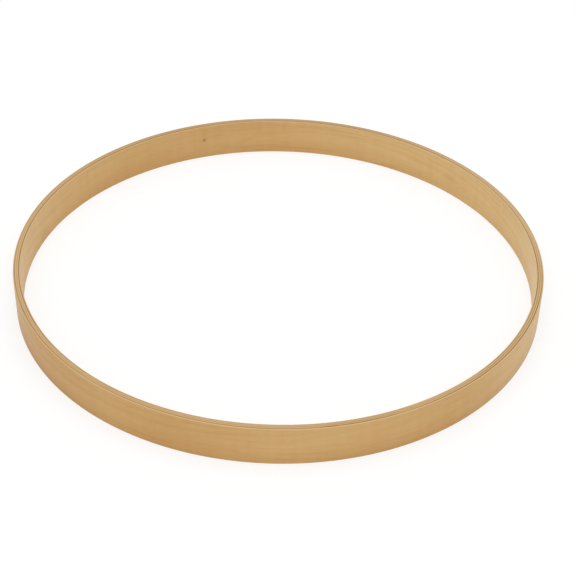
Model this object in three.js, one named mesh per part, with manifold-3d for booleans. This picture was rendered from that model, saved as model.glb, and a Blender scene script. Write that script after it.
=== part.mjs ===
// A counter hoop for a bass drum: the wooden ring that holds the drum head on the shell.
// Seven maple plies are bent round one inside the other and glued. The grain of every second ply runs across
// the hoop instead of along it, and no ply has its seam near the seam of a neighbour. The pressed hoop is
// then cut to width, and its four long corners are rounded over.
// Millimetres, +Z up. The hoop's axis is Z, and its lower edge lies in the plane Z = 0.

import * as THREE from 'three';
import { mergeVertices, toCreasedNormals } from 'three/addons/utils/BufferGeometryUtils.js';
import Module from 'manifold-3d';

// Driving dimensions. The seam angles are in degrees, counted from +X towards +Y.
const outerDiameter = 581;
const hoopWidth = 44.45;
const plyThickness = 1.07;
const glueLine = 0.05;
const cornerRadius = 0.9;
const scarfLength = 9;
const firstSeamAngle = 146;
const seamStaggerAngle = 63.1;

// How finely the round forms are divided
const facetsPerTurn = 144;
const facetsPerCorner = 4;
const stepsPerScarf = 4;
const smoothingAngle = 30;

// How far a cutting solid reaches past the ply that it cuts
const cutterMargin = 1;

// The most of a ply's thickness that a rounded corner takes, so that some of its edge stays flat
const mostOfPly = 0.9;

const degree = Math.PI / 180;
const fullTurn = 360 * degree;

// A ply whose grain runs along the hoop is one strip with scarfed ends. No veneer is wide enough across its
// grain for the whole turn, so a cross ply is two half turns with square ends that butt together.
const grains = {
  along: { strips: [''], bevelLength: scarfLength, color: 0xcda674, roughness: 0.42 },
  across: { strips: ['_a', '_b'], bevelLength: 0, color: 0xa67c4a, roughness: 0.55 },
};

// The plies from the inner face to the outer one
const lamination = [
  { name: 'inner_face_ply', grain: grains.along },
  { name: 'inner_cross_ply', grain: grains.across },
  { name: 'inner_long_ply', grain: grains.along },
  { name: 'middle_cross_ply', grain: grains.across },
  { name: 'outer_long_ply', grain: grains.along },
  { name: 'outer_cross_ply', grain: grains.across },
  { name: 'outer_face_ply', grain: grains.along },
].map(placePly);

const wasm = await Module();
wasm.setup();

// Where a ply lies: the plies are stacked inwards from the outer face, a glue line apart, and each one's
// seam is turned on from the seam of the ply inside it.
function placePly(ply, number, plies) {
  const pliesOutside = plies.length - 1 - number;
  const outerRadius = outerDiameter / 2 - pliesOutside * (plyThickness + glueLine);
  return {
    ...ply,
    outerRadius,
    middleRadius: outerRadius - plyThickness / 2,
    innerRadius: outerRadius - plyThickness,
    showsInside: number === 0,
    showsOutside: pliesOutside === 0,
    seam: (firstSeamAngle + number * seamStaggerAngle) * degree,
  };
}

// The section of a ply, with its radius along x and its height along y. A face ply has rounded corners on
// the side that shows.
function plySection({ innerRadius, outerRadius, showsInside, showsOutside }) {
  const rounding = Math.min(cornerRadius, mostOfPly * plyThickness);
  const section = new THREE.Path();
  if (showsInside) {
    section.absarc(innerRadius + rounding, hoopWidth - rounding, rounding, 90 * degree, 180 * degree);
    section.absarc(innerRadius + rounding, rounding, rounding, 180 * degree, 270 * degree);
  } else {
    section.moveTo(innerRadius, hoopWidth);
    section.lineTo(innerRadius, 0);
  }
  if (showsOutside) {
    section.absarc(outerRadius - rounding, rounding, rounding, -90 * degree, 0);
    section.absarc(outerRadius - rounding, hoopWidth - rounding, rounding, 0, 90 * degree);
  } else {
    section.lineTo(outerRadius, 0);
    section.lineTo(outerRadius, hoopWidth);
  }
  section.closePath();
  return section.getPoints(facetsPerCorner / 2);
}

// A ply before its seams are cut: its section turned about the hoop's axis.
function plyRing(ply) {
  const ring = new THREE.LatheGeometry(plySection(ply), facetsPerTurn);
  return ring.rotateX(90 * degree);
}

// The plan of one strip. Its ends are bevelled flat while it is straight and bend with it, so along an end
// the angle grows evenly with the radius.
function stripPlan({ innerRadius, middleRadius, outerRadius, grain }, start, end) {
  const inside = innerRadius - cutterMargin;
  const outside = outerRadius + cutterMargin;
  const lean = (radius) => ((grain.bevelLength / plyThickness) * (radius - middleRadius)) / middleRadius;
  const alongBevel = Array.from({ length: stepsPerScarf - 1 }, (_, step) =>
    THREE.MathUtils.lerp(inside, outside, (step + 1) / stepsPerScarf),
  );
  const plan = new THREE.Shape();
  const lineTo = (radius, angle) => plan.lineTo(radius * Math.cos(angle), radius * Math.sin(angle));
  plan.absarc(0, 0, inside, end + lean(inside), start + lean(inside), true);
  alongBevel.forEach((radius) => lineTo(radius, start + lean(radius)));
  plan.absarc(0, 0, outside, start + lean(outside), end + lean(outside));
  alongBevel.reverse().forEach((radius) => lineTo(radius, end + lean(radius)));
  plan.closePath();
  return plan;
}

// One strip of a ply, cut from the ply's ring between two seams that are each a glue line wide.
function cutStrip(ply, number) {
  const sweep = fullTurn / ply.grain.strips.length;
  const seamWidth = (glueLine * Math.hypot(plyThickness, ply.grain.bevelLength)) / plyThickness;
  const seamTurn = seamWidth / ply.middleRadius;
  const start = ply.seam + number * sweep + seamTurn / 2;
  const cutter = new THREE.ExtrudeGeometry(stripPlan(ply, start, start + sweep - seamTurn), {
    depth: hoopWidth + 2 * cutterMargin,
    bevelEnabled: false,
    curveSegments: facetsPerTurn / 2,
  });
  cutter.translate(0, 0, -cutterMargin);
  return geometryOf(solidOf(plyRing(ply)).intersect(solidOf(cutter)));
}

// A closed geometry as a solid that can be cut.
function solidOf(geometry) {
  geometry.deleteAttribute('normal');
  geometry.deleteAttribute('uv');
  const merged = mergeVertices(geometry);
  const mesh = new wasm.Mesh({
    numProp: 3,
    vertProperties: new Float32Array(merged.attributes.position.array),
    triVerts: new Uint32Array(merged.index.array),
  });
  return new wasm.Manifold(mesh);
}

// A cut solid as a geometry again, shaded smooth round the hoop and crisp at its edges.
function geometryOf(solid) {
  const mesh = solid.getMesh();
  const geometry = new THREE.BufferGeometry();
  geometry.setAttribute('position', new THREE.BufferAttribute(mesh.vertProperties, mesh.numProp));
  geometry.setIndex(new THREE.BufferAttribute(mesh.triVerts, 1));
  return toCreasedNormals(geometry, smoothingAngle * degree);
}

// The strips of one ply as named meshes.
function buildPly(ply) {
  const { strips, color, roughness } = ply.grain;
  return strips.map((suffix, number) => {
    const material = new THREE.MeshStandardMaterial({ color, roughness, metalness: 0 });
    const strip = new THREE.Mesh(cutStrip(ply, number), material);
    strip.name = ply.name + suffix;
    return strip;
  });
}

const hoop = new THREE.Group();
hoop.name = 'bass_drum_hoop';
hoop.add(...lamination.flatMap(buildPly));

export default hoop;
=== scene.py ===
"""Dresses a packed drum hoop: seven maple plies with their grain, glue lines and lacquer, in a white studio.

The hoop is a wooden counter hoop for a bass drum. Its plies lie one inside the other, and the grain of every
second one runs across the hoop. Lengths are metres, +Z is up, the hoop's axis is Z and it stands on Z = 0.
"""

from dataclasses import dataclass
from math import cos, pi, radians, sin

import bpy
import numpy as np
from bpy.props import FloatProperty, FloatVectorProperty, IntProperty, PointerProperty
from mathutils import Matrix, Vector


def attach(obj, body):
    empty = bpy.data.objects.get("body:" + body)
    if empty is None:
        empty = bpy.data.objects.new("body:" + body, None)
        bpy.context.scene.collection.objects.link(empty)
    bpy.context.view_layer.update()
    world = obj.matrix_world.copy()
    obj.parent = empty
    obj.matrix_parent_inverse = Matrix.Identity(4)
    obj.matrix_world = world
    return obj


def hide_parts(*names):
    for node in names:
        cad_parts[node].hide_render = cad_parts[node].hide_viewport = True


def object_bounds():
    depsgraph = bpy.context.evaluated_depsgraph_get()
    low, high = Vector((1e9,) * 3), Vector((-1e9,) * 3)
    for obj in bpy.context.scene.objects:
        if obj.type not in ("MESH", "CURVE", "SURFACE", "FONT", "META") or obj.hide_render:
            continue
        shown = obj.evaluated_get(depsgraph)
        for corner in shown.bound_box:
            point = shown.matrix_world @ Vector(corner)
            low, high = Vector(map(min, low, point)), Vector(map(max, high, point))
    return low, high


bl_info = {
    "name": "Laminated Drum Hoop",
    "version": (1, 0, 0),
    "blender": (4, 5, 0),
    "location": "View3D > Sidebar > Drum Hoop",
    "description": "Builds the maple plies of a bass drum hoop and a white studio round them",
    "category": "Add Mesh",
}

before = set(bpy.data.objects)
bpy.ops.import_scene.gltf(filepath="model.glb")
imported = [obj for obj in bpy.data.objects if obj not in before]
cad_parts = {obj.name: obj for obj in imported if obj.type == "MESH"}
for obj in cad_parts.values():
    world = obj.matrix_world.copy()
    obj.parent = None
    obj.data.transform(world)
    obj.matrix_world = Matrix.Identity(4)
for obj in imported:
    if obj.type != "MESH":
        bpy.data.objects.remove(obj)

# One millimetre, in metres
MM = 0.001

CAD_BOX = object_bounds()
HOOP_LOW = CAD_BOX[0].z
HOOP_HIGH = CAD_BOX[1].z
HOOP_WIDTH = HOOP_HIGH - HOOP_LOW

# Where the frame's strips end: the innermost ply's seam, the turn from each seam to the next, the length of
# the bevel that joins a strip's two ends where its grain runs along the hoop, and the glue's room in a seam
FIRST_SEAM = radians(146)
SEAM_STAGGER = radians(63.1)
SCARF_LENGTH = 9 * MM
SEAM_GAP = 0.05 * MM

# The plies from the inner face to the outer one: name, run of the grain, and what its strips' names end in
LAMINATION = (
    ("inner_face_ply", "along", ("",)),
    ("inner_cross_ply", "across", ("_a", "_b")),
    ("inner_long_ply", "along", ("",)),
    ("middle_cross_ply", "across", ("_a", "_b")),
    ("outer_long_ply", "along", ("",)),
    ("outer_cross_ply", "across", ("_a", "_b")),
    ("outer_face_ply", "along", ("",)),
)

# The greatest value of an 8-bit screen colour, and the power that makes it a share of light
SCREEN_WHITE = 255
SCREEN_GAMMA = 2.2


def srgb(red, green, blue):
    """Linear colour of an 8-bit screen colour: each value over the greatest, to the power of the gamma."""
    return tuple(np.power(np.array((red, green, blue)) / SCREEN_WHITE, SCREEN_GAMMA).tolist())


def radii_of(node):
    """Least and greatest distance of a frame node's vertices from the hoop's axis."""
    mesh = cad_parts[node].data
    place = np.empty(len(mesh.vertices) * 3, np.float32)
    mesh.vertices.foreach_get("co", place)
    distance = np.hypot(place[0::3], place[1::3])
    return float(distance.min()), float(distance.max())


@dataclass
class Ply:
    """One veneer layer: where it lies, which way its grain runs, and where its first seam is."""

    number: int
    name: str
    grain: str
    strips: tuple
    inner: float
    outer: float

    @property
    def shows_inside(self):
        return self.number == 0

    @property
    def shows_outside(self):
        return self.number == len(LAMINATION) - 1

    @property
    def middle(self):
        return (self.inner + self.outer) / 2

    @property
    def thickness(self):
        return self.outer - self.inner

    @property
    def seam(self):
        return FIRST_SEAM + self.number * SEAM_STAGGER

    def node(self, number):
        """Name of the frame's node for one of the ply's strips."""
        return self.name + self.strips[number]

    def lean(self, radius):
        """Angle by which a scarfed end lies further on at this radius than at the ply's middle.

        A scarf goes on by its length over the ply's thickness, and a butt joint is square.
        """
        bevel = SCARF_LENGTH if self.grain == "along" else 0
        return bevel / self.thickness * (radius - self.middle) / self.middle

    def length_at(self, angle, radius):
        """Length along the ply's first strip, from its start to an angle on the surface at a radius."""
        turned = (angle - self.seam - self.lean(radius)) % (2 * pi)
        return turned * self.middle


def read_plies():
    """The plies of the frame by name. Neighbours meet in the middle of the glue line between them."""
    radii = [radii_of(name + strips[0]) for name, _, strips in LAMINATION]
    joints = [(inside[1] + outside[0]) / 2 for inside, outside in zip(radii, radii[1:])]
    faces = [radii[0][0], *joints, radii[-1][1]]
    return {
        name: Ply(number, name, grain, strips, faces[number], faces[number + 1])
        for number, (name, grain, strips) in enumerate(LAMINATION)
    }


PLIES = read_plies()


class HoopShape(bpy.types.PropertyGroup):
    """Fine shape of the plies, which the frame leaves plain."""

    corner_radius: FloatProperty(
        name="Corner radius",
        description="Rounding of the hoop's four long corners",
        default=0.9 * MM,
        min=0.1 * MM,
        max=0.95 * MM,
        subtype="DISTANCE",
        unit="LENGTH",
        precision=5,
    )
    corner_wander: FloatProperty(
        name="Corner wander",
        description="How far hand sanding lets the corner radius vary round the hoop",
        default=0.07 * MM,
        min=0,
        max=0.1 * MM,
        subtype="DISTANCE",
        unit="LENGTH",
        precision=5,
    )
    arris_radius: FloatProperty(
        name="Arris radius",
        description="Easing of a ply's corner at a glue line, where the lacquer sinks in",
        default=0.06 * MM,
        min=0.01 * MM,
        max=0.2 * MM,
        subtype="DISTANCE",
        unit="LENGTH",
        precision=5,
    )
    edge_crown: FloatProperty(
        name="Edge crown",
        description="How far the edge of a ply falls from its middle to its glue lines",
        default=0.02 * MM,
        min=0,
        max=0.1 * MM,
        subtype="DISTANCE",
        unit="LENGTH",
        precision=5,
    )
    cross_recess: FloatProperty(
        name="Cross ply recess",
        description="How far the end grain of a cross ply is sanded below the other edges",
        default=0.03 * MM,
        min=0,
        max=0.2 * MM,
        subtype="DISTANCE",
        unit="LENGTH",
        precision=5,
    )
    stations: IntProperty(
        name="Stations",
        description="Sections set round one whole turn of the hoop",
        default=720,
        min=72,
        max=1440,
    )
    corner_steps: IntProperty(
        name="Corner steps",
        description="Facets across a rounded corner of the hoop",
        default=8,
        min=2,
        max=16,
    )
    wall_steps: IntProperty(
        name="Wall steps",
        description="Facets up the face of a ply",
        default=16,
        min=4,
        max=48,
    )
    edge_steps: IntProperty(
        name="Edge steps",
        description="Facets across the edge of a ply",
        default=6,
        min=2,
        max=16,
    )


class MapleFinish(bpy.types.PropertyGroup):
    """Colours of the wood and the lacquer on it."""

    face: FloatVectorProperty(
        name="Face",
        description="Maple seen on the wide faces",
        default=srgb(204, 163, 106),
        subtype="COLOR",
        min=0,
        max=1,
    )
    grain_line: FloatVectorProperty(
        name="Grain line",
        description="Late wood of a growth ring",
        default=srgb(174, 125, 70),
        subtype="COLOR",
        min=0,
        max=1,
    )
    pale_wood: FloatVectorProperty(
        name="Pale wood",
        description="Early wood and pale patches",
        default=srgb(222, 189, 138),
        subtype="COLOR",
        min=0,
        max=1,
    )
    long_edge: FloatVectorProperty(
        name="Long ply edge",
        description="Sanded edge of a ply whose grain runs along the hoop",
        default=srgb(201, 167, 121),
        subtype="COLOR",
        min=0,
        max=1,
    )
    # Paler wood on the rounded corners: fresh sanded wood, and a painted highlight
    sanded_corner_highlight: FloatVectorProperty(
        name="Sanded corner",
        description="Fresh wood that sanding bares on the rounded corners",
        default=srgb(213, 179, 129),
        subtype="COLOR",
        min=0,
        max=1,
    )
    soaked_end: FloatVectorProperty(
        name="Soaked end grain",
        description="End grain that has drunk much lacquer",
        default=srgb(118, 76, 26),
        subtype="COLOR",
        min=0,
        max=1,
    )
    dry_end: FloatVectorProperty(
        name="Dry end grain",
        description="End grain that has drunk little lacquer",
        default=srgb(199, 163, 113),
        subtype="COLOR",
        min=0,
        max=1,
    )
    glue: FloatVectorProperty(
        name="Glue line",
        description="Glue between two plies and in a seam",
        default=srgb(120, 84, 46),
        subtype="COLOR",
        min=0,
        max=1,
    )
    knot: FloatVectorProperty(
        name="Pin knot",
        description="Middle of a pin knot",
        default=srgb(108, 68, 32),
        subtype="COLOR",
        min=0,
        max=1,
    )
    streak: FloatVectorProperty(
        name="Streak",
        description="Reddish mineral streak",
        default=srgb(180, 124, 78),
        subtype="COLOR",
        min=0,
        max=1,
    )
    wood_roughness: FloatProperty(
        name="Wood roughness",
        description="Mean roughness of the sealed wood",
        default=0.5,
        min=0,
        max=1,
        subtype="FACTOR",
    )
    wood_gloss: FloatProperty(
        name="Wood gloss",
        description="Specular level of the sealed wood under the lacquer",
        default=0.08,
        min=0,
        max=1,
        subtype="FACTOR",
    )
    lacquer_weight: FloatProperty(
        name="Lacquer weight",
        description="How much the clear satin lacquer shows over the wood",
        default=0.18,
        min=0,
        max=1,
        subtype="FACTOR",
    )
    lacquer_roughness: FloatProperty(
        name="Lacquer roughness",
        description="Roughness of the clear satin lacquer",
        default=0.2,
        min=0,
        max=1,
        subtype="FACTOR",
    )


class HoopStudio(bpy.types.PropertyGroup):
    """Camera, light and floor."""

    distance: FloatProperty(
        name="Camera distance",
        description="From the camera to the middle of the hoop",
        default=1.563849,
        min=0.1,
        subtype="DISTANCE",
        unit="LENGTH",
    )
    elevation: FloatProperty(
        name="Camera elevation",
        description="Angle of the camera above the horizon",
        default=radians(36.08748),
        subtype="ANGLE",
        unit="ROTATION",
    )
    roll: FloatProperty(
        name="Camera roll",
        description="Turn of the camera about its own line of sight",
        default=radians(1.44252),
        subtype="ANGLE",
        unit="ROTATION",
    )
    aim: FloatVectorProperty(
        name="Aim",
        description="Point in the hoop's middle plane that the camera looks at",
        default=(0.010525, -0.038518),
        size=2,
        subtype="TRANSLATION",
        unit="LENGTH",
    )
    lens: FloatProperty(
        name="Lens",
        description="Focal length in millimetres, on a sensor 36 mm wide",
        default=87.5792,
        min=1,
        unit="CAMERA",
    )
    sky: FloatProperty(
        name="Sky",
        description="Strength of the even white light from all round",
        default=0.72,
        min=0,
    )
    lamp_power: FloatProperty(
        name="Overhead lamp",
        description="Power of the softbox above the hoop",
        default=14,
        min=0,
        subtype="POWER",
        unit="POWER",
    )
    lamp_height: FloatProperty(
        name="Lamp height",
        description="Height of the softbox above the floor",
        default=2.4,
        min=0.5,
        subtype="DISTANCE",
        unit="LENGTH",
    )
    lamp_size: FloatProperty(
        name="Lamp size",
        description="Side of the softbox",
        default=1.6,
        min=0.1,
        subtype="DISTANCE",
        unit="LENGTH",
    )
    front_power: FloatProperty(
        name="Front lamp",
        description="Power of the softbox behind the camera",
        default=10.5,
        min=0,
        subtype="POWER",
        unit="POWER",
    )
    floor_radius: FloatProperty(
        name="Floor radius",
        description="Radius of the round studio floor",
        default=4,
        min=1,
        subtype="DISTANCE",
        unit="LENGTH",
    )
    floor_tone: FloatProperty(
        name="Floor tone",
        description="Share of the light that the floor throws back at the hoop",
        default=0.9,
        min=0,
        max=1,
        subtype="FACTOR",
    )
    shadow_depth: FloatProperty(
        name="Shadow depth",
        description="How much of its shading the white floor keeps where it is looked at",
        default=0.3,
        min=0,
        max=1,
        subtype="FACTOR",
    )


# Waves in the rounding of the hand-sanded corners round the hoop: cycles in a turn, height and start
SANDING_WAVES = ((3, 1.0, 0), (7, 0.6, 2), (16, 0.4, 5))

# Facets across a ply's corner at a glue line, and the bend past which an edge is shaded sharp
ARRIS_STEPS = 2
SHARP_BEND = radians(50)


def corner_radii(ply, angle, shape):
    """Radii of a ply's section corners at each station: outer low, outer high, inner high, inner low.

    A corner that shows is the hoop's corner radius, which wanders with the angle as the sum of the sanding
    waves over the sum of their heights. A corner at a glue line is the arris radius.
    """
    waves = [height * np.sin(cycles * angle + start) for cycles, height, start in SANDING_WAVES]
    wander = sum(waves) / sum(height for _, height, _ in SANDING_WAVES)
    rounded = shape.corner_radius + shape.corner_wander * wander
    eased = np.full_like(angle, shape.arris_radius)
    outer = rounded if ply.shows_outside else eased
    inner = rounded if ply.shows_inside else eased
    return outer, outer, inner, inner


def ply_section(ply, angle, shape):
    """Radius, height and facing of the points round a ply's section, one row for each station.

    The section is a rectangle with four quarter-circle corners, run from the outer low corner up the outer
    face, inwards over the top edge, down the inner face and back under the lower edge. The facing is the
    angle of the outward normal above the horizontal. Points on the straight sides are set by a cosine, so
    that they crowd towards the corners. Each edge falls off with the square of the distance from its middle.
    """
    recess = shape.cross_recess if ply.grain == "across" else 0
    low, high = HOOP_LOW + recess, HOOP_HIGH - recess
    # Each corner's radius and height, the signs that lead from there into the wood, and whether it shows
    corners = (
        (ply.outer, low, -1, 1, ply.shows_outside),
        (ply.outer, high, -1, -1, ply.shows_outside),
        (ply.inner, high, 1, -1, ply.shows_inside),
        (ply.inner, low, 1, 1, ply.shows_inside),
    )
    arcs = []
    for quarter, rounding in enumerate(corner_radii(ply, angle, shape)):
        radius, height, inwards, upwards, shown = corners[quarter]
        steps = shape.corner_steps if shown else ARRIS_STEPS
        facing = (quarter - 1) * pi / 2 + np.linspace(0, pi / 2, steps + 1)
        across = radius + rounding[:, None] * (inwards + np.cos(facing))
        up = height + rounding[:, None] * (upwards + np.sin(facing))
        arcs.append((across, up, np.broadcast_to(facing, across.shape)))
    parts = []
    for quarter, arc in enumerate(arcs):
        after = arcs[(quarter + 1) % len(arcs)]
        steps = shape.edge_steps if quarter % 2 else shape.wall_steps
        share = (1 - np.cos(pi * np.arange(1, steps) / steps)) / 2
        ends = [(here[:, -1:], there[:, :1]) for here, there in zip(arc[:2], after[:2])]
        side = [first + (last - first) * share for first, last in ends]
        parts += [arc, (*side, np.full_like(side[0], quarter * pi / 2))]
    across, up, facing = (np.concatenate(rows, axis=1) for rows in zip(*parts))
    fall = shape.edge_crown * ((across - ply.middle) / (ply.thickness / 2)) ** 2
    return across, up - fall * np.sin(facing), facing


def strip_surface(ply, number, shape):
    """Points and fields of one strip of a ply, as grids of stations by section points.

    The section is carried round the hoop through the strip's share of a turn. A point's angle is its
    station's plus the ply's lean at its radius, which gives the strip its bevelled ends. The veneer field is
    the length along the strip, the height and the depth from the ply's inner face. The edge field is the
    squared sine of the facing: 0 on a face and 1 on an edge. The seam field is the way to the nearer end.
    """
    sweep = 2 * pi / len(ply.strips)
    gap = SEAM_GAP / ply.middle
    start = ply.seam + number * sweep + gap / 2
    length = sweep - gap
    turned = np.linspace(0, length, shape.stations // len(ply.strips) + 1)
    across, up, facing = ply_section(ply, start + turned, shape)
    angle = start + turned[:, None] + ply.lean(across)
    points = np.stack((across * np.cos(angle), across * np.sin(angle), up), axis=-1)
    along = np.broadcast_to((turned * ply.middle)[:, None], across.shape)
    return points, {
        "veneer": np.stack((along, up - HOOP_LOW, across - ply.inner), axis=-1),
        "edge": np.sin(facing) ** 2,
        "seam": np.minimum(along, length * ply.middle - along),
    }


def ring_faces(grid):
    """Four-sided faces of a grid of point numbers whose rows are closed rings.

    Face i, j joins rings i and i + 1 at their points j and j + 1.
    """
    beside = np.roll(grid, -1, axis=1)
    return np.stack((grid[:-1], grid[1:], beside[1:], beside[:-1]), axis=-1).reshape(-1, 4)


def fan(rim, hub):
    """Three-sided faces that join each side of a closed rim of point numbers to a hub."""
    return np.stack((rim, np.roll(rim, -1), np.full(rim.size, hub)), axis=-1)


def with_hubs(grid):
    """Values of a grid of sections, point by point, and then the means of its first and its last section."""
    ends = grid[[0, -1]].mean(axis=1)
    return np.concatenate((grid.reshape(grid.shape[0] * grid.shape[1], -1), ends.reshape(2, -1)))


def linked(name, data):
    """A new object of that data in the scene, at the origin."""
    made = bpy.data.objects.new(name, data)
    bpy.context.scene.collection.objects.link(made)
    return made


def mesh_object(name, points, *faces):
    """A new object of a mesh of points, one a row, with groups of faces."""
    mesh = bpy.data.meshes.new(name)
    mesh.from_pydata(points.tolist(), [], [face for group in faces for face in group.tolist()])
    return linked(name, mesh)


def closed_strip(name, points, fields):
    """Mesh object of a grid of sections, with a fan over each end, and the fields as point attributes.

    The sections run round the wood so that ring_faces and both fans face away from it. A fan meets in a hub,
    whose place and fields are the means of the end's section.
    """
    stations, loop = points.shape[:2]
    grid = np.arange(stations * loop).reshape(stations, loop)
    first_end = fan(grid[0], grid.size)
    last_end = fan(grid[-1, ::-1], grid.size + 1)
    piece = mesh_object(name, with_hubs(points), ring_faces(grid), first_end, last_end)
    for field, values in fields.items():
        rows = with_hubs(values)
        kind, key = ("FLOAT_VECTOR", "vector") if rows.shape[1] == 3 else ("FLOAT", "value")
        attribute = piece.data.attributes.new(field, kind, "POINT")
        attribute.data.foreach_set(key, rows.astype(np.float32).ravel())
    piece.data.shade_smooth()
    piece.data.set_sharp_from_angle(angle=SHARP_BEND)
    return piece


def build_strip(ply, number, material):
    """One strip of a ply, standing for the frame's node of the same name."""
    node = ply.node(number)
    points, fields = strip_surface(ply, number, bpy.context.scene.hoop_shape)
    piece = closed_strip("veneer_" + node, points, fields)
    piece.data.materials.append(material)
    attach(piece, "root")
    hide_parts(node)


# A Mix node's two colour inputs and its colour output, by number because the sockets for other kinds of
# value have the same names
MIX_COLOURS = (6, 7)
MIX_RESULT = 2

# Depth of the deepest pore in the lacquered surface
RELIEF = 0.03 * MM


class Shader:
    """The node tree of a material or a world, with short ways to add its nodes and link them."""

    def __init__(self, owner):
        self.owner = owner
        self.owner.use_nodes = True
        self.tree = owner.node_tree
        self.tree.nodes.clear()

    def add(self, kind, inputs=None, **settings):
        """A new node with its settings, and each input linked to a socket or filled with a value."""
        node = self.tree.nodes.new(kind)
        for key, value in settings.items():
            setattr(node, key, value)
        for key, value in (inputs or {}).items():
            if isinstance(value, bpy.types.NodeSocket):
                self.tree.links.new(value, node.inputs[key])
            else:
                node.inputs[key].default_value = value
        return node

    def attribute(self, name, output="Fac"):
        """One of the fields that the strips carry."""
        return self.add("ShaderNodeAttribute", attribute_name=name).outputs[output]

    def math(self, operation, *values):
        """Result of an arithmetic operation on sockets and numbers."""
        return self.add("ShaderNodeMath", dict(enumerate(values)), operation=operation).outputs[0]

    def vector(self, operation, *values, output="Vector"):
        """Result of an operation on vectors, each a socket or three numbers."""
        node = self.add("ShaderNodeVectorMath", dict(enumerate(values)), operation=operation)
        return node.outputs[output]

    def scaled(self, vector, factor):
        """A vector times a number, each a socket or a value."""
        node = self.add("ShaderNodeVectorMath", {0: vector, "Scale": factor}, operation="SCALE")
        return node.outputs["Vector"]

    def smooth(self, value, low, high, start=0.0, end=1.0):
        """Smooth step from start to end as the value goes from low to high."""
        inputs = {"Value": value, "From Min": low, "From Max": high, "To Min": start, "To Max": end}
        node = self.add("ShaderNodeMapRange", inputs, interpolation_type="SMOOTHSTEP")
        return node.outputs["Result"]

    def fade(self, value, low, high, start=1.0):
        """Smooth step from start to 0 as the value goes from low to high."""
        return self.smooth(value, low, high, start, 0.0)

    def tint(self, factor, colour, other):
        """Mix of two colours, each a socket or a linear colour."""
        node = self.add("ShaderNodeMix", {"Factor": factor}, data_type="RGBA")
        for number, value in zip(MIX_COLOURS, (colour, other)):
            if isinstance(value, bpy.types.NodeSocket):
                self.tree.links.new(value, node.inputs[number])
            else:
                node.inputs[number].default_value = (*value, 1)
        return node.outputs[MIX_RESULT]

    def lacquered(self, colour, roughness, bump, finish):
        """Ends the tree in lacquered wood of that colour, roughness and relief, and returns the material."""
        relief = self.add("ShaderNodeBump", {"Height": bump, "Strength": 1.0, "Distance": RELIEF})
        inputs = {
            "Base Color": colour,
            "Roughness": roughness,
            "Normal": relief.outputs["Normal"],
            "Specular IOR Level": finish.wood_gloss,
            "Coat Weight": finish.lacquer_weight,
            "Coat Roughness": finish.lacquer_roughness,
        }
        wood = self.add("ShaderNodeBsdfPrincipled", inputs)
        self.add("ShaderNodeOutputMaterial", {"Surface": wood.outputs["BSDF"]})
        return self.owner


@dataclass
class Figure:
    """A noise in the wood.

    The channel sets it apart from the other noises, and the cells are how many it has to the metre along the
    veneer, up the hoop and into the ply. The octaves are its finer and finer layers, the roughness is how
    strong each is beside the one before, and the weight is how much the noise counts where it is added.
    """

    channel: int
    cells: tuple
    octaves: float
    weight: float = 1.0
    roughness: float = 0.5


# The growth rings in a long veneer: how far they bulge and ripple, and where they fade
RING_BULGE = Figure(1, (1.3, 9, 30), 1.0, weight=22 * MM)
RING_RIPPLE = Figure(2, (14, 110, 60), 2.0, weight=1.1 * MM)
RING_FADING = Figure(3, (5, 40, 40), 2.0)

# What makes a long veneer deeper or paler, beside its rings: broad patches, fibres, fine threads and curl
PATCH = Figure(4, (4, 16, 20), 2.0, weight=0.36)
FIBRE = Figure(5, (24, 950, 950), 3.0, weight=0.3, roughness=0.6)
THREAD = Figure(6, (120, 4200, 4200), 1.0, weight=0.32)
CURL = Figure(7, (120, 14, 20), 1.0, weight=0.12)
LONG_FIGURES = (PATCH, FIBRE, THREAD, CURL)

# The short dark flecks of maple, and the values of the noise between which a fleck comes up
FLECK = Figure(8, (620, 2600, 2600), 0.0, weight=-0.08)
FLECK_LIMITS = (0.62, 0.75)

# What lets end grain drink more lacquer or less: pores, thin layers of the sheet, and slow patches
PORE = Figure(1, (7500, 300, 7500), 1.0, weight=0.5)
LAYER = Figure(2, (45, 30, 3200), 2.0, weight=0.5)
SLOW_PATCH = Figure(3, (13, 10, 300), 3.0, weight=0.5)
END_FIGURES = (SLOW_PATCH, LAYER, PORE)

# Where the noises of the first ply's first sheet start, and how far each ply and each channel goes on
SHEET_START = (0, 2.1, 1.7)
PLY_STEP = (3.7, 5.9, 0)
CHANNEL_STEP = (11.3, 0, 8.3)

# The middle of a noise and of the tone, and the values between which most and nearly all of a noise lies
MIDDLE = 0.5
NOISE_CORE = (0.3, 0.7)
NOISE_SPAN = (0.2, 0.8)

# Thickness of a growth ring, and the radius of the log where the veneers were sliced from it
RING_THICKNESS = 1.7 * MM
LOG_RADIUS = 90 * MM

# How high up the hoop, as shares of its width, the arches of the rings have their middle: the lowest place,
# the step to the next one, and how many places the plies take in turn
ARCH_LOWEST = 0.35
ARCH_STEP = 0.1
ARCH_PLACES = 3

# Shares of a ring's thickness where its late wood begins to show and is deepest, how much is left of it
# where the rings are faintest, how much deeper it makes the tone, and the tone of the wood without it
LATE_WOOD_START = 0.35
LATE_WOOD_PEAK = 0.93
LATE_WOOD_LEAST = 0.35
LATE_WOOD_WEIGHT = -0.08
USUAL_TONE = 0.52

# How much more red, green and blue the palest wood returns than the usual wood; the paleness carries painted
# light and sheen, and painted shade below 0
PALENESS_GAIN = (0.21, 0.36, 0.56)

# Values of the edge field between which a face's figure gives way to the edge's, a glue line comes up, and
# the pale corner comes and goes: wood that sanding bares on a rounded corner, with a painted highlight
FACE_TO_EDGE = (0.3, 1.0)
GLUE_ON_EDGE = (0.8, 0.98)
CORNER_START = (0.04, 0.4)
CORNER_END = (0.75, 1.0)

# How far a glue line and the glue of a scarf and of a butt joint are seen in full, and how far they fade
GLUE_LINE = (0.02 * MM, 0.09 * MM)
SCARF_LINE = (0.05 * MM, 0.25 * MM)
BUTT_LINE = (0.1 * MM, 0.45 * MM)

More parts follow.
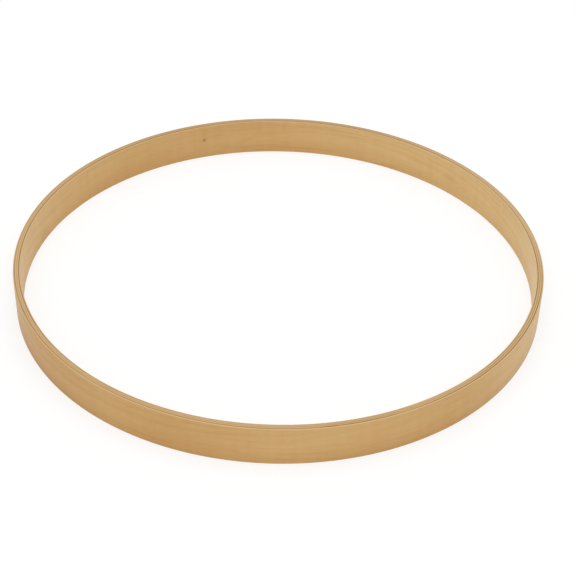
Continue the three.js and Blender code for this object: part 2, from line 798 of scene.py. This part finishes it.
# How strongly glue shows through the lacquer on long grain and on end grain, and of that a scarf's thin line
# and its feathered ends
GLUE_ON_LONG = 0.8
GLUE_ON_END = 0.7
SCARF_STRENGTH = 0.16
FEATHER_STRENGTH = 0.03

# How much the roughness of long grain goes up and down with its fibres, and of end grain up with its pores
FIBRE_ROUGHNESS = 0.06
PORE_ROUGHNESS = 0.15

# Painted shade along the hoop's lower edge, near the floor: how much deeper it makes the wood, and the
# heights between which it fades
LOWER_EDGE_SHADE = 0.3
LOWER_SHADE_HEIGHTS = (2 * MM, 24 * MM)


@dataclass
class Mark:
    """A natural mark in a face veneer.

    It has its angle round the hoop, its height, its reach along and up the veneer, and its strength, which
    is the share of its colour in its middle.
    """

    angle: float
    height: float
    half_length: float
    half_height: float
    strength: float


# A pin knot as its brown halo and its dark heart, how much the fibres bow out round it, and how far, in half
# lengths and half heights of the halo
PIN_KNOT = (
    Mark(radians(110.1), 25.1 * MM, 3.6 * MM, 4.2 * MM, 0.38),
    Mark(radians(110.1), 25.1 * MM, 1.4 * MM, 1.8 * MM, 0.45),
)
KNOT_BOW = 0.55
BOW_LENGTHS = 4
BOW_HEIGHTS = 2

# Streaks and stains in the two face veneers
INNER_STREAKS = (
    Mark(radians(86), 6.5 * MM, 80 * MM, 0.8 * MM, 0.7),
    Mark(radians(97), 9.5 * MM, 55 * MM, 0.9 * MM, 0.5),
    Mark(radians(79), 37 * MM, 95 * MM, 0.7 * MM, 0.4),
    Mark(radians(70), 33 * MM, 60 * MM, 0.9 * MM, 0.4),
    Mark(radians(43), 23 * MM, 14 * MM, 6 * MM, 0.3),
    Mark(radians(110), 35 * MM, 5 * MM, 8 * MM, 0.14),
)
OUTER_STREAKS = (
    Mark(radians(262), 28 * MM, 60 * MM, 0.8 * MM, 0.35),
    Mark(radians(268), 20 * MM, 75 * MM, 0.7 * MM, 0.35),
    Mark(radians(275), 13 * MM, 60 * MM, 1.0 * MM, 0.35),
    Mark(radians(240), 8 * MM, 70 * MM, 0.9 * MM, 0.4),
)


@dataclass
class Stretch:
    """A part of the turn: the angle of its middle, how far it reaches to either side, and its strength."""

    angle: float
    half_turn: float
    strength: float


# Where the wood is paler (or deeper, below 0) than usual round the hoop. The stretches near 0° and 180°, on
# the hoop's right and left sides, are painted light and sheen; the others make the wood's tone differ round
# the hoop
INNER_PALENESS = (
    Stretch(radians(5), radians(90), 0.91),
    Stretch(radians(93), radians(35), 0.05),
    Stretch(radians(180), radians(45), 0.55),
)
OUTER_PALENESS = (
    Stretch(radians(355), radians(45), 0.5),
    Stretch(radians(275), radians(14), 0.12),
    Stretch(radians(249), radians(13), -0.18),
    Stretch(radians(214), radians(20), -0.25),
)
EDGE_PALENESS = (
    Stretch(radians(10), radians(75), 0.4),
    Stretch(radians(185), radians(45), 0.2),
    Stretch(radians(95), radians(65), -0.1),
    Stretch(radians(285), radians(9), -0.13),
)
OUTER_LONG_PALENESS = (*EDGE_PALENESS, Stretch(radians(285), radians(10), -0.15))


@dataclass
class Soaking:
    """How much lacquer a strip's end grain drank: a level, and the stretches that raise or lower it."""

    level: float
    stretches: tuple


# What the strips of the cross plies drank, by the names of their nodes
SOAKING = {
    "inner_cross_ply_a": Soaking(
        0.58,
        (
            Stretch(radians(272), radians(75), -0.5),
            Stretch(radians(358), radians(16), 0.3),
        ),
    ),
    "inner_cross_ply_b": Soaking(
        0.6,
        (
            Stretch(radians(60), radians(35), 0.4),
            Stretch(radians(125), radians(32), 0.4),
            Stretch(radians(166), radians(18), 0.15),
        ),
    ),
    "middle_cross_ply_a": Soaking(
        0.16,
        (
            Stretch(radians(345), radians(25), 0.35),
            Stretch(radians(85), radians(60), 0.2),
        ),
    ),
    "middle_cross_ply_b": Soaking(
        0.16,
        (Stretch(radians(322), radians(22), 0.25),),
    ),
    "outer_cross_ply_a": Soaking(
        0.3,
        (
            Stretch(radians(205), radians(22), 0.3),
            Stretch(radians(262), radians(35), 0.15),
            Stretch(radians(281), radians(3), 0.35),
        ),
    ),
    "outer_cross_ply_b": Soaking(
        0.3,
        (
            Stretch(radians(286), radians(10), 0.3),
            Stretch(radians(328), radians(40), 0.45),
            Stretch(radians(0), radians(16), -0.15),
        ),
    ),
}


def figured(shader, place, figure, ply, sheet=0):
    """Values of a figure's noise at a veneer place, between 0 and 1, which differ for each ply and sheet."""
    channel = sheet + figure.channel
    shift = tuple(
        start + ply.number * ply_step + channel * channel_step
        for start, ply_step, channel_step in zip(SHEET_START, PLY_STEP, CHANNEL_STEP)
    )
    stretched = shader.vector("MULTIPLY_ADD", place, figure.cells, shift)
    inputs = {"Vector": stretched, "Scale": 1.0, "Detail": figure.octaves, "Roughness": figure.roughness}
    return shader.add("ShaderNodeTexNoise", inputs).outputs["Fac"]


def varied(shader, place, tone, figures, ply, sheet=0):
    """The tone varied by some figures, and the noise of each figure by its channel.

    A figure adds what its noise has above the middle, times the figure's weight.
    """
    noises = {}
    for figure in figures:
        noise = figured(shader, place, figure, ply, sheet)
        tone = shader.math("MULTIPLY_ADD", shader.math("SUBTRACT", noise, MIDDLE), figure.weight, tone)
        noises[figure.channel] = noise
    return tone, noises


def nearness(shader, place, mark, ply, radius):
    """Grey value of 1 in the middle of a mark, which fades to 0 at its reach, an ellipse in the veneer."""
    middle = (ply.length_at(mark.angle, radius), mark.height, 0)
    away = shader.vector("SUBTRACT", place, middle)
    reaches = shader.vector("MULTIPLY", away, (1 / mark.half_length, 1 / mark.half_height, 0))
    return shader.fade(shader.vector("LENGTH", reaches, output="Value"), 0.0, 1.0)


def bowed(shader, place, knot, ply, radius):
    """Veneer place pulled towards a knot's height round the knot, so that the fibres bow out past it."""
    half_length, half_height = BOW_LENGTHS * knot.half_length, BOW_HEIGHTS * knot.half_height
    wide = Mark(knot.angle, knot.height, half_length, half_height, knot.strength)
    pull = shader.math("MULTIPLY", nearness(shader, place, wide, ply, radius), KNOT_BOW)
    away = shader.vector("SUBTRACT", place, (0, knot.height, 0))
    upright = shader.vector("MULTIPLY", away, (0, 1, 0))
    return shader.vector("SUBTRACT", place, shader.scaled(upright, pull))


def turned_by(shader, stretches, base):
    """Base plus the strength of every stretch, which fades to 0 at its reach.

    It fades with the cosine of the turn between the point's own direction from the axis and the middle of
    the stretch.
    """
    place = shader.add("ShaderNodeTexCoord").outputs["Object"]
    outward = shader.vector("NORMALIZE", shader.vector("MULTIPLY", place, (1, 1, 0)))
    total = base
    for part in stretches:
        middle = (cos(part.angle), sin(part.angle), 0)
        turn = shader.vector("DOT_PRODUCT", outward, middle, output="Value")
        span = {"Value": turn, "From Min": cos(part.half_turn), "To Max": part.strength}
        total = shader.math("ADD", total, shader.add("ShaderNodeMapRange", span).outputs["Result"])
    return total


def paled(shader, wood, paleness):
    """The wood colour with each channel raised by its share of PALENESS_GAIN, which keeps the figure; it
    carries painted light, sheen and shade.
    """
    return shader.vector("MULTIPLY_ADD", wood, shader.scaled(PALENESS_GAIN, paleness), wood)


def growth_rings(shader, place, ply):
    """Late wood lines of a sliced veneer, from 0 to 1.

    The log's rings bulge towards the slice, so the slice cuts them in long arches: the ring count is the
    bulge and a ripple, which are noises, less the square of the height above the arch's middle over twice
    the log's radius, plus the depth in the veneer, all over a ring's thickness. A line deepens slowly over
    a ring and ends at once.
    """
    split = shader.add("ShaderNodeSeparateXYZ", {0: place})
    bulge = figured(shader, place, RING_BULGE, ply)
    ripple = shader.math("MULTIPLY", figured(shader, place, RING_RIPPLE, ply), RING_RIPPLE.weight)
    layers = shader.math("MULTIPLY_ADD", bulge, RING_BULGE.weight, ripple)
    middle = HOOP_WIDTH * (ARCH_LOWEST + ARCH_STEP * (ply.number % ARCH_PLACES))
    off_middle = shader.math("ABSOLUTE", shader.math("SUBTRACT", split.outputs["Y"], middle))
    arch = shader.math("MULTIPLY", shader.math("POWER", off_middle, 2), 1 / (2 * LOG_RADIUS))
    depth = shader.math("ADD", shader.math("SUBTRACT", layers, arch), split.outputs["Z"])
    ring = shader.math("FRACT", shader.math("DIVIDE", depth, RING_THICKNESS))
    rise = shader.smooth(ring, LATE_WOOD_START, LATE_WOOD_PEAK)
    line = shader.math("MULTIPLY", rise, shader.fade(ring, LATE_WOOD_PEAK, 1.0))
    fading = figured(shader, place, RING_FADING, ply)
    return shader.math("MULTIPLY", line, shader.smooth(fading, *NOISE_CORE, LATE_WOOD_LEAST, 1.0))


def long_grain(shader, place, ply):
    """Tone of the wood from 0, deep, to 1, pale, and its fibres alone, for a strip with its grain along."""
    tone, noises = varied(shader, place, USUAL_TONE, LONG_FIGURES, ply)
    tone = shader.math("MULTIPLY_ADD", growth_rings(shader, place, ply), LATE_WOOD_WEIGHT, tone)
    fleck = shader.smooth(figured(shader, place, FLECK, ply), *FLECK_LIMITS)
    return shader.math("MULTIPLY_ADD", fleck, FLECK.weight, tone), noises[FIBRE.channel]


def toned(shader, tone, deep, middle, pale):
    """Colour that runs from deep through middle to pale as the tone goes from 0 to 1."""
    dark_half = shader.add("ShaderNodeMapRange", {"Value": tone, "From Max": MIDDLE}).outputs["Result"]
    pale_half = shader.add("ShaderNodeMapRange", {"Value": tone, "From Min": MIDDLE}).outputs["Result"]
    return shader.tint(pale_half, shader.tint(dark_half, deep, middle), pale)


def marked(shader, place, wood, marks, colour, ply, radius):
    """The wood with some natural marks of one colour in it."""
    for mark in marks:
        near = nearness(shader, place, mark, ply, radius)
        wood = shader.tint(shader.math("MULTIPLY", near, mark.strength), wood, colour)
    return wood


def glue_lines(shader, place, ply, edge):
    """Grey value of 1 on the edge along a ply's two glue lines, which fades to 0 inside the ply."""
    depth = shader.add("ShaderNodeSeparateXYZ", {0: place}).outputs["Z"]
    nearest = shader.math("MINIMUM", depth, shader.math("SUBTRACT", ply.thickness, depth))
    return shader.math("MULTIPLY", shader.fade(nearest, *GLUE_LINE), shader.smooth(edge, *GLUE_ON_EDGE))


def scarf_glue(shader):
    """Grey value of the glue that shows at a scarf: a thin line on the strip's end and its feathered end."""
    end = shader.attribute("seam")
    line = shader.fade(end, *SCARF_LINE, SCARF_STRENGTH)
    return shader.math("ADD", line, shader.fade(end, 0.0, SCARF_LENGTH / 2, FEATHER_STRENGTH))


def maple_along(ply, finish, stretches, knots=(), streaks=()):
    """Maple with its grain along the hoop: arched rings, fibres and marks on the face, and a paler edge."""
    shader = Shader(bpy.data.materials.new("maple_" + ply.name))
    place = shader.attribute("veneer", "Vector")
    edge = shader.attribute("edge")
    radius = ply.inner if ply.shows_inside else ply.outer
    flow = bowed(shader, place, knots[0], ply, radius) if knots else place
    tone, fibre = long_grain(shader, flow, ply)
    face = toned(shader, tone, finish.grain_line, finish.face, finish.pale_wood)
    face = marked(shader, place, face, streaks, finish.streak, ply, radius)
    face = marked(shader, place, face, knots, finish.knot, ply, radius)
    rim = toned(shader, tone, finish.face, finish.long_edge, finish.pale_wood)
    wood = shader.tint(shader.smooth(edge, *FACE_TO_EDGE), face, rim)
    # Painted shade deepens the wood towards the lower edge, and the stretches add painted light and sheen on
    # the hoop's left and right sides
    height = shader.add("ShaderNodeSeparateXYZ", {0: place}).outputs["Y"]
    lower_shade = shader.fade(height, *LOWER_SHADE_HEIGHTS, LOWER_EDGE_SHADE)
    wood = paled(shader, wood, turned_by(shader, stretches, shader.math("MULTIPLY", lower_shade, -1.0)))
    # The rounded corners of the face plies get paler wood: sanded wood, with a painted highlight
    if ply.shows_inside or ply.shows_outside:
        past_face, before_edge = shader.smooth(edge, *CORNER_START), shader.fade(edge, *CORNER_END)
        bared_and_highlight = shader.math("MULTIPLY", past_face, before_edge)
        wood = shader.tint(bared_and_highlight, wood, finish.sanded_corner_highlight)
    glue = shader.math("MAXIMUM", glue_lines(shader, place, ply, edge), scarf_glue(shader))
    colour = shader.tint(shader.math("MULTIPLY", glue, GLUE_ON_LONG), wood, finish.glue)
    rough, sleek = finish.wood_roughness + FIBRE_ROUGHNESS, finish.wood_roughness - FIBRE_ROUGHNESS
    return shader.lacquered(colour, shader.smooth(fibre, *NOISE_SPAN, rough, sleek), fibre, finish)


def maple_across(ply, number, finish):
    """Maple with its grain across the hoop, whose end grain shows on the edge: pores and soaked-in lacquer.

    Each strip is its own sheet of veneer. How much lacquer it drank is its soaking's level plus the strength
    of each stretch that is near, varied by the noises of end grain.
    """
    node = ply.node(number)
    shader = Shader(bpy.data.materials.new("maple_" + node))
    place = shader.attribute("veneer", "Vector")
    edge = shader.attribute("edge")
    level = turned_by(shader, SOAKING[node].stretches, SOAKING[node].level)
    drunk, noises = varied(shader, place, level, END_FIGURES, ply, sheet=number * len(LAMINATION))
    wood = shader.tint(drunk, finish.dry_end, finish.soaked_end)
    # Painted light and sheen pale the end grain on the hoop's left and right sides, and its tone differs
    # elsewhere
    wood = paled(shader, wood, turned_by(shader, EDGE_PALENESS, 0.0))
    butt = shader.fade(shader.attribute("seam"), *BUTT_LINE)
    glue = shader.math("MAXIMUM", glue_lines(shader, place, ply, edge), butt)
    colour = shader.tint(shader.math("MULTIPLY", glue, GLUE_ON_END), wood, finish.glue)
    pore = noises[PORE.channel]
    rough, sleek = finish.wood_roughness + PORE_ROUGHNESS, finish.wood_roughness
    return shader.lacquered(colour, shader.smooth(pore, *NOISE_SPAN, rough, sleek), pore, finish)


# How far the floor lies under the hoop, and how it is divided
FLOOR_GAP = 0.05 * MM
FLOOR_RINGS = 16
FLOOR_SIDES = 96

# The floor's paper: cells to the metre and octaves of its mottling, how far that takes its tone to either
# side, and how bright the paper looks without its shadow, where 1 is white
MOTTLE_CELLS = 0.75
MOTTLE_OCTAVES = 3.0
MOTTLE_DEPTH = 0.01
PAPER_GLOW = 1.02

# Where the softbox behind the camera stands, and the width of the camera's sensor in millimetres
FRONT_LAMP = (0, -2.2, 1.8)
SENSOR_WIDTH = 36

WHITE = (1, 1, 1, 1)


def round_floor(radius, level):
    """Flat disc as a polar grid: its point is the ring's radius times the cosine and sine of the angle.

    The rings' radii grow with the square of their number, so that they crowd under the hoop.
    """
    rings = radius * (np.arange(1, FLOOR_RINGS + 1) / FLOOR_RINGS) ** 2
    angle = 2 * pi * np.arange(FLOOR_SIDES) / FLOOR_SIDES
    side = np.append(np.outer(rings, np.cos(angle)), 0)
    depth = np.append(np.outer(rings, np.sin(angle)), 0)
    points = np.stack((side, depth, np.full(side.size, level)), axis=-1)
    grid = np.arange(rings.size * angle.size).reshape(rings.size, angle.size)
    return mesh_object("studio_floor", points, ring_faces(grid), fan(grid[0], grid.size))


def looked_at(shader):
    """Socket that is 1 for the camera and for what shows in gloss or through glass, and 0 for the rest."""
    path = shader.add("ShaderNodeLightPath").outputs
    seen = shader.math("MAXIMUM", path["Is Camera Ray"], path["Is Glossy Ray"])
    return shader.math("MAXIMUM", seen, path["Is Transmission Ray"])


def white_paper(studio):
    """Matt pale paper, which is grey-white to the light, and white with a faint shadow to the eye."""
    shader = Shader(bpy.data.materials.new("studio_paper"))
    place = shader.add("ShaderNodeTexCoord").outputs["Object"]
    inputs = {"Vector": place, "Scale": MOTTLE_CELLS, "Detail": MOTTLE_OCTAVES}
    mottle = shader.add("ShaderNodeTexNoise", inputs).outputs["Fac"]
    dark, pale = studio.floor_tone - MOTTLE_DEPTH, studio.floor_tone + MOTTLE_DEPTH
    tone = shader.smooth(mottle, *NOISE_CORE, dark, pale)
    plain = shader.add("ShaderNodeBsdfDiffuse", {"Color": shader.tint(tone, (0, 0, 0), (1, 1, 1))})
    shaded = shader.add("ShaderNodeBsdfDiffuse", {"Color": (*[studio.shadow_depth] * 3, 1)})
    glow = shader.add("ShaderNodeEmission", {"Strength": PAPER_GLOW - studio.shadow_depth})
    lit = shader.add("ShaderNodeAddShader", {0: shaded.outputs[0], 1: glow.outputs[0]})
    inputs = {0: looked_at(shader), 1: plain.outputs[0], 2: lit.outputs[0]}
    mixed = shader.add("ShaderNodeMixShader", inputs)
    shader.add("ShaderNodeOutputMaterial", {"Surface": mixed.outputs[0]})
    return shader.owner


def white_world(studio):
    """Even white light from all round, and plain white where it is looked at."""
    shader = Shader(bpy.data.worlds.new("studio_world"))
    light = shader.add("ShaderNodeBackground", {"Color": WHITE, "Strength": studio.sky})
    seen = shader.add("ShaderNodeBackground", {"Color": WHITE, "Strength": 1.0})
    inputs = {0: looked_at(shader), 1: light.outputs[0], 2: seen.outputs[0]}
    mixed = shader.add("ShaderNodeMixShader", inputs)
    shader.add("ShaderNodeOutputWorld", {"Surface": mixed.outputs[0]})
    return shader.owner


def looking_along(sight):
    """Turn of a lamp or camera so that it looks along a direction, with its upper side up."""
    return sight.to_track_quat("-Z", "Y").to_matrix().to_4x4()


def softbox(name, place, size, power):
    """Square lamp at a place, which faces the middle of the hoop."""
    light = bpy.data.lights.new(name, "AREA")
    light.energy = power
    light.size = size
    linked(name, light).matrix_world = Matrix.Translation(place) @ looking_along(-Vector(place))


def photo_camera(studio):
    """Camera on the -Y side of the hoop, at its distance and elevation from the hoop's middle."""
    middle = Vector((0, 0, (HOOP_LOW + HOOP_HIGH) / 2))
    away = Vector((0, -cos(studio.elevation), sin(studio.elevation))) * studio.distance
    eye = middle + away
    sight = middle + Vector((*studio.aim, 0)) - eye
    lens = bpy.data.cameras.new("photo_camera")
    lens.sensor_width = SENSOR_WIDTH
    lens.lens = studio.lens
    camera = linked("photo_camera", lens)
    turn = looking_along(sight) @ Matrix.Rotation(studio.roll, 4, "Z")
    camera.matrix_world = Matrix.Translation(eye) @ turn
    return camera


class HOOP_OT_face_plies(bpy.types.Operator):
    """Build the two plies whose faces show, with their rounded corners and natural marks"""

    bl_idname = "hoop.face_plies"
    bl_label = "Face Plies"

    def execute(self, context):
        finish = context.scene.maple_finish
        inner, outer = PLIES["inner_face_ply"], PLIES["outer_face_ply"]
        build_strip(inner, 0, maple_along(inner, finish, INNER_PALENESS, PIN_KNOT, INNER_STREAKS))
        build_strip(outer, 0, maple_along(outer, finish, OUTER_PALENESS, (), OUTER_STREAKS))
        return {"FINISHED"}


class HOOP_OT_long_plies(bpy.types.Operator):
    """Build the two inner plies whose grain runs along the hoop"""

    bl_idname = "hoop.long_plies"
    bl_label = "Long Plies"

    def execute(self, context):
        finish = context.scene.maple_finish
        inner, outer = PLIES["inner_long_ply"], PLIES["outer_long_ply"]
        build_strip(inner, 0, maple_along(inner, finish, EDGE_PALENESS))
        build_strip(outer, 0, maple_along(outer, finish, OUTER_LONG_PALENESS))
        return {"FINISHED"}


class HOOP_OT_cross_plies(bpy.types.Operator):
    """Build the three plies whose grain runs across the hoop, each as two half turns"""

    bl_idname = "hoop.cross_plies"
    bl_label = "Cross Plies"

    def execute(self, context):
        finish = context.scene.maple_finish
        for ply in PLIES.values():
            if ply.grain == "across":
                for number in range(len(ply.strips)):
                    build_strip(ply, number, maple_across(ply, number, finish))
        return {"FINISHED"}


class HOOP_OT_studio(bpy.types.Operator):
    """Set up the white floor, the light and the camera"""

    bl_idname = "hoop.studio"
    bl_label = "Studio"

    def execute(self, context):
        studio = context.scene.hoop_studio
        scene = context.scene
        floor = round_floor(studio.floor_radius, HOOP_LOW - FLOOR_GAP)
        floor.data.materials.append(white_paper(studio))
        scene.world = white_world(studio)
        softbox("overhead_softbox", (0, 0, studio.lamp_height), studio.lamp_size, studio.lamp_power)
        softbox("front_softbox", FRONT_LAMP, studio.lamp_size, studio.front_power)
        scene.camera = photo_camera(studio)
        scene.view_settings.view_transform = "Standard"
        return {"FINISHED"}


class HOOP_PT_panel(bpy.types.Panel):
    """Settings of the drum hoop and the buttons that build it"""

    bl_label = "Drum Hoop"
    bl_idname = "HOOP_PT_panel"
    bl_space_type = "VIEW_3D"
    bl_region_type = "UI"
    bl_category = "Drum Hoop"

    def draw(self, context):
        for name, group in GROUPS.items():
            box = self.layout.box()
            for key in group.__annotations__:
                box.prop(getattr(context.scene, name), key)
        for operator in OPERATORS:
            self.layout.operator(operator.bl_idname)


OPERATORS = (HOOP_OT_face_plies, HOOP_OT_long_plies, HOOP_OT_cross_plies, HOOP_OT_studio)
GROUPS = {"hoop_shape": HoopShape, "maple_finish": MapleFinish, "hoop_studio": HoopStudio}


def register():
    """Makes the classes known to Blender and gives every scene their settings."""
    for made in (*GROUPS.values(), *OPERATORS, HOOP_PT_panel):
        bpy.utils.register_class(made)
    for name, group in GROUPS.items():
        setattr(bpy.types.Scene, name, PointerProperty(type=group))


def unregister():
    """Takes the settings and the classes away again."""
    for name in GROUPS:
        delattr(bpy.types.Scene, name)
    for made in (HOOP_PT_panel, *reversed(OPERATORS), *GROUPS.values()):
        bpy.utils.unregister_class(made)


def main():
    """Builds the hoop and its studio."""
    register()
    bpy.ops.hoop.face_plies()
    bpy.ops.hoop.long_plies()
    bpy.ops.hoop.cross_plies()
    bpy.ops.hoop.studio()


if __name__ == "__main__":
    main()
